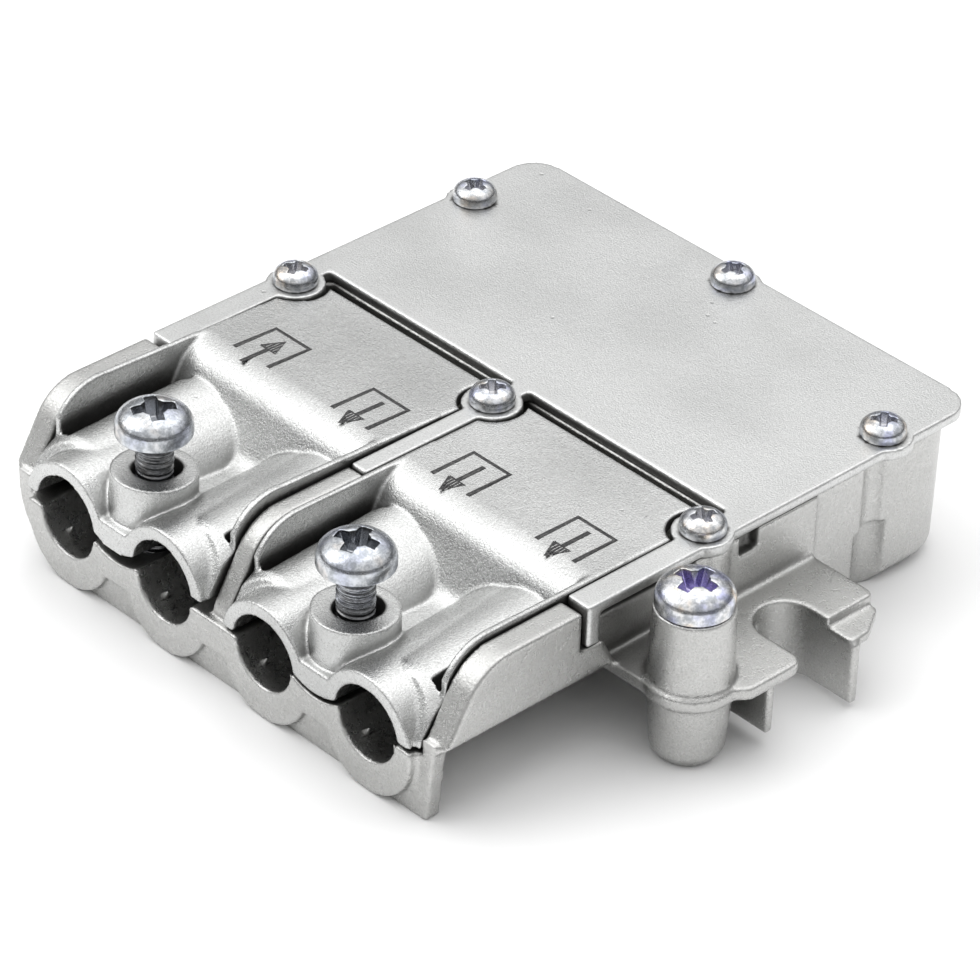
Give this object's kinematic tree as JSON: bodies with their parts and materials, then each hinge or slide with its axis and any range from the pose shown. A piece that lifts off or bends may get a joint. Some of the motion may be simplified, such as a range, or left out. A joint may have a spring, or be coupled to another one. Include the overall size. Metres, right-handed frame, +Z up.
{
  "type": "coaxial splitter",
  "caption": "Die-cast coaxial cable splitter with a row of screw-clamp cable ports, lifting clamp lids, a flat screwed cover and a side fixing lug with a ground post.",
  "frame": {"origin": "middle of the footprint, on the ground", "axes": "+X along the row of ports towards the fixing lug, +Y from the ports to the rear, +Z up through the cover"},
  "size_m": [0.0778, 0.0756, 0.0231],
  "materials": {
    "cast_body": "blasted bare zinc die casting, satin grey",
    "cast_cover": "blasted bare zinc die casting, satin grey",
    "cast_clamp": "blasted bare zinc die casting, satin grey",
    "zinc_screw": "bright zinc-plated steel",
    "board": "green solder mask on glass-fibre board",
    "white_plastic": "natural white plastic",
    "contact_brass": "tinned brass",
    "ferrite": "dark grey sintered ferrite",
    "copper_wire": "enamelled copper wire",
    "chip_ceramic": "tan ceramic chip"
  },
  "bodies": {
    "body": {"chassis": "cast_body", "cover": "cast_cover", "circuit_board": "board", "contact_carrier_left": "white_plastic", "contact_carrier_right": "white_plastic", "chip_capacitors": "chip_ceramic", "chip_resistors": "chip_ceramic", "cover_screw_1": "zinc_screw", "cover_screw_2": "zinc_screw", "cover_screw_3": "zinc_screw", "cover_screw_4": "zinc_screw", "cover_screw_5": "zinc_screw", "cover_screw_6": "zinc_screw", "centre_contact_1": "contact_brass", "port_insulator_1": "white_plastic", "centre_contact_2": "contact_brass", "port_insulator_2": "white_plastic", "centre_contact_3": "contact_brass", "port_insulator_3": "white_plastic", "centre_contact_4": "contact_brass", "port_insulator_4": "white_plastic", "ferrite_core_1": "ferrite", "transformer_winding_1": "copper_wire", "ferrite_core_2": "ferrite", "transformer_winding_2": "copper_wire", "ferrite_core_3": "ferrite", "transformer_winding_3": "copper_wire"},
    "clamp_left": {"clamp_left": "cast_clamp"},
    "clamp_right": {"clamp_right": "cast_clamp"},
    "clamp_screw_left": {"clamp_screw_left": "zinc_screw"},
    "clamp_screw_right": {"clamp_screw_right": "zinc_screw"},
    "ground_screw": {"ground_screw": "zinc_screw"}
  },
  "joints": [
    {"name": "clamp_left_hinge", "type": "hinge", "parent": "body", "child": "clamp_left", "pos_m": [-0.02065, -0.00449, 0.0151], "axis": [-1, 0, 0], "range_deg": [-2.4, 6.6]},
    {"name": "clamp_right_hinge", "type": "hinge", "parent": "body", "child": "clamp_right", "pos_m": [0.00935, -0.00449, 0.0151], "axis": [-1, 0, 0], "range_deg": [-0.7, 8.3]},
    {"name": "clamp_screw_left_travel", "type": "slide", "parent": "body", "child": "clamp_screw_left", "axis": [0, 0, 1], "range_m": [-0.004, 0.0016]},
    {"name": "clamp_screw_right_travel", "type": "slide", "parent": "body", "child": "clamp_screw_right", "axis": [0, 0, 1], "range_m": [-0.0049, 0.0016]},
    {"name": "ground_screw_travel", "type": "slide", "parent": "body", "child": "ground_screw", "axis": [0, 0, 1], "range_m": [0, 0.008]}
  ]
}
